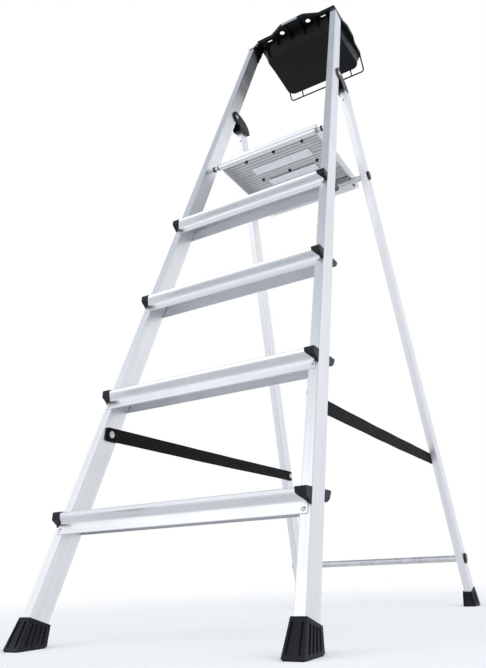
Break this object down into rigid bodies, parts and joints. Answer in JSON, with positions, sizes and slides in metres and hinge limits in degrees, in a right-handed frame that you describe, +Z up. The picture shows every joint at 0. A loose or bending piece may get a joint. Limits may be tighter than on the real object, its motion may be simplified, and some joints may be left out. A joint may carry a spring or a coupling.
{
  "type": "step ladder",
  "caption": "Folding platform step ladder with flat treads, guard frame, tool tray with wire rack, and a hinged rear support frame held by straps.",
  "frame": {"origin": "on the floor, under the middle of the footprint", "axes": "+Z up, +X to the right as seen by a climber facing the steps, +Y from the climbing side to the rear support frame"},
  "size_m": [0.5208, 1.0164, 1.788],
  "materials": {
    "aluminium_profile": "satin extruded",
    "galvanised_steel": "zinc plated tube",
    "rivet_steel": "plain blind rivet",
    "black_plastic": "moulded, half gloss",
    "cap_plastic": "moulded, satin",
    "foot_rubber": "moulded, matt",
    "strap_webbing": "woven polyester webbing",
    "rack_wire": "black coated wire",
    "plate_print": "blank label film"
  },
  "bodies": {
    "front_frame": {"front_foot_left": "foot_rubber", "front_foot_right": "foot_rubber", "front_stile_left": "aluminium_profile", "front_stile_right": "aluminium_profile", "pivot_bush_left": "black_plastic", "pivot_bush_right": "black_plastic", "pivot_rod": "galvanised_steel", "step_1": "aluminium_profile", "step_1_caps_left": "cap_plastic", "step_1_caps_right": "cap_plastic", "step_1_rivets": "rivet_steel", "step_2": "aluminium_profile", "step_2_caps_left": "cap_plastic", "step_2_caps_right": "cap_plastic", "step_2_rivets": "rivet_steel", "step_3": "aluminium_profile", "step_3_caps_left": "cap_plastic", "step_3_caps_right": "cap_plastic", "step_3_rivets": "rivet_steel", "step_4": "aluminium_profile", "step_4_caps_left": "cap_plastic", "step_4_caps_right": "cap_plastic", "step_4_rivets": "rivet_steel", "strap_left": "strap_webbing", "strap_right": "strap_webbing", "strap_rivets_front": "rivet_steel", "tray": "black_plastic", "tray_plate": "plate_print", "tray_rack": "rack_wire", "tray_screws": "black_plastic"},
    "rear_frame": {"hinge_block_left": "black_plastic", "hinge_block_right": "black_plastic", "hinge_block_rivets": "rivet_steel", "hinge_pin_left": "rivet_steel", "hinge_pin_right": "rivet_steel", "lower_bar": "galvanised_steel", "lower_bar_cap_left": "black_plastic", "lower_bar_cap_right": "black_plastic", "rear_foot_left": "foot_rubber", "rear_foot_right": "foot_rubber", "rear_leg_left": "aluminium_profile", "rear_leg_right": "aluminium_profile", "strap_rivets_rear": "rivet_steel", "upper_bar": "galvanised_steel", "upper_bar_cap_left": "black_plastic", "upper_bar_cap_right": "black_plastic"},
    "platform": {"deck_board_front": "aluminium_profile", "deck_board_middle": "aluminium_profile", "deck_board_rear": "aluminium_profile", "deck_fascia": "aluminium_profile", "deck_hook": "aluminium_profile", "deck_plugs": "black_plastic", "deck_side_left": "aluminium_profile", "deck_side_right": "aluminium_profile"}
  },
  "joints": [
    {"name": "rear_frame_fold", "type": "hinge", "parent": "front_frame", "child": "rear_frame", "pos_m": [0, 0.02255, 1.383], "axis": [-1, 0, 0], "range_deg": [0, 34], "deforming": ["strap_right", "strap_left"]},
    {"name": "platform_tilt", "type": "hinge", "parent": "front_frame", "child": "platform", "pos_m": [0, -0.08595, 1.1225], "axis": [1, 0, 0], "range_deg": [0, 68]}
  ],
  "couplings": [
    {"joint": "platform_tilt", "follows": "rear_frame_fold", "ratio": 2}
  ]
}
